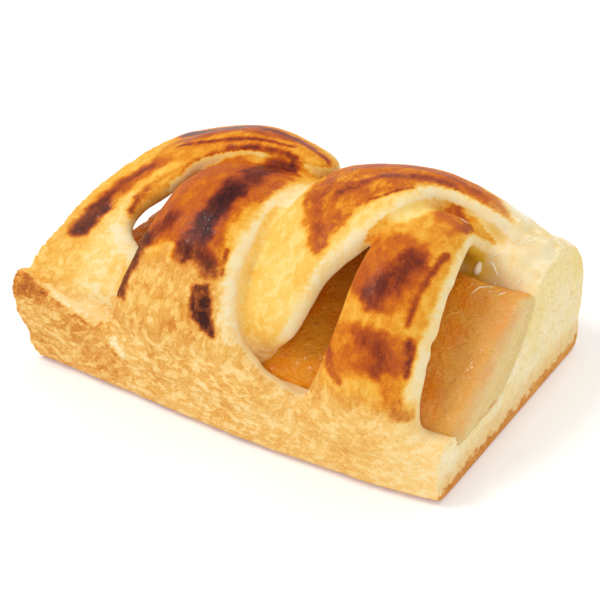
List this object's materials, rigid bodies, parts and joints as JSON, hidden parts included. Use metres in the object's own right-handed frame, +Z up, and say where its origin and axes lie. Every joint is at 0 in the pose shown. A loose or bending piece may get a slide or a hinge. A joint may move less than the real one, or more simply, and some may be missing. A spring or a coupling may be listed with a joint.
{
  "type": "braided pear pie",
  "caption": "Cut length of braided yeast pastry: glazed dough straps cross over a trough of dough with a cooked pear filling running through it.",
  "frame": {"origin": "middle of the flat underside, at the middle of the overall length and width", "axes": "+X along the pastry towards its square cut end, -Y the front that the picture shows, +Z up"},
  "size_m": [0.119, 0.079, 0.0549],
  "materials": {
    "dough": "baked crust, satin where glazed",
    "pear_filling": "moist cooked fruit"
  },
  "bodies": {
    "root": {"dough": "dough", "pear_filling": "pear_filling"}
  },
  "joints": []
}
